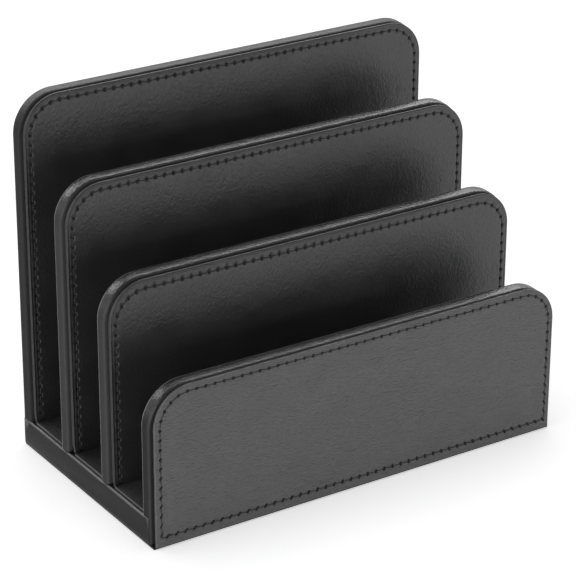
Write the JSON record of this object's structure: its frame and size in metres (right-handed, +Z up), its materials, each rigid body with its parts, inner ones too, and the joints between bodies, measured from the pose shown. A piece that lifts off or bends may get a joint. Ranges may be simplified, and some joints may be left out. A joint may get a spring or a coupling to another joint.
{
  "type": "desk letter holder",
  "caption": "Stepped desk letter holder: upright leather-covered panels, low in front and high behind, with open slots between them on a low covered base.",
  "frame": {"origin": "centre of the underside, on the surface that the holder stands on", "axes": "+Z up, +X along the panels to the right seen from the front, +Y from the lowest panel to the highest one, so the stitched facings look along -Y"},
  "size_m": [0.19, 0.1062, 0.1523],
  "materials": {
    "wrap_leather": "black grained leather, soft satin sheen",
    "facing_leather": "black leather with a fine pebbled grain, satin",
    "thread": "matt black twisted sewing thread",
    "slot_lining": "dark coarse-grained lining sheet, matt",
    "fibreboard": "raw fibreboard, hidden",
    "card": "grey backing card, hidden",
    "felt": "black felt",
    "steel": "zinc-plated, hidden"
  },
  "bodies": {
    "root": {"front_board": "fibreboard", "front_wrap": "wrap_leather", "front_facing_card": "card", "front_facing": "facing_leather", "front_thread": "thread", "front_screw_1": "steel", "front_screw_2": "steel", "lower_divider_board": "fibreboard", "lower_divider_wrap": "wrap_leather", "lower_divider_facing_card": "card", "lower_divider_facing": "facing_leather", "lower_divider_thread": "thread", "lower_divider_screw_1": "steel", "lower_divider_screw_2": "steel", "lower_divider_screw_3": "steel", "upper_divider_board": "fibreboard", "upper_divider_wrap": "wrap_leather", "upper_divider_facing_card": "card", "upper_divider_facing": "facing_leather", "upper_divider_thread": "thread", "upper_divider_screw_1": "steel", "upper_divider_screw_2": "steel", "upper_divider_screw_3": "steel", "back_board": "fibreboard", "back_wrap": "wrap_leather", "back_facing_card": "card", "back_facing": "facing_leather", "back_thread": "thread", "back_screw_1": "steel", "back_screw_2": "steel", "base_board": "fibreboard", "base_strip_left": "wrap_leather", "base_strip_right": "wrap_leather", "front_slot_lining": "slot_lining", "middle_slot_lining": "slot_lining", "rear_slot_lining": "slot_lining", "underside_felt": "felt"}
  },
  "joints": []
}
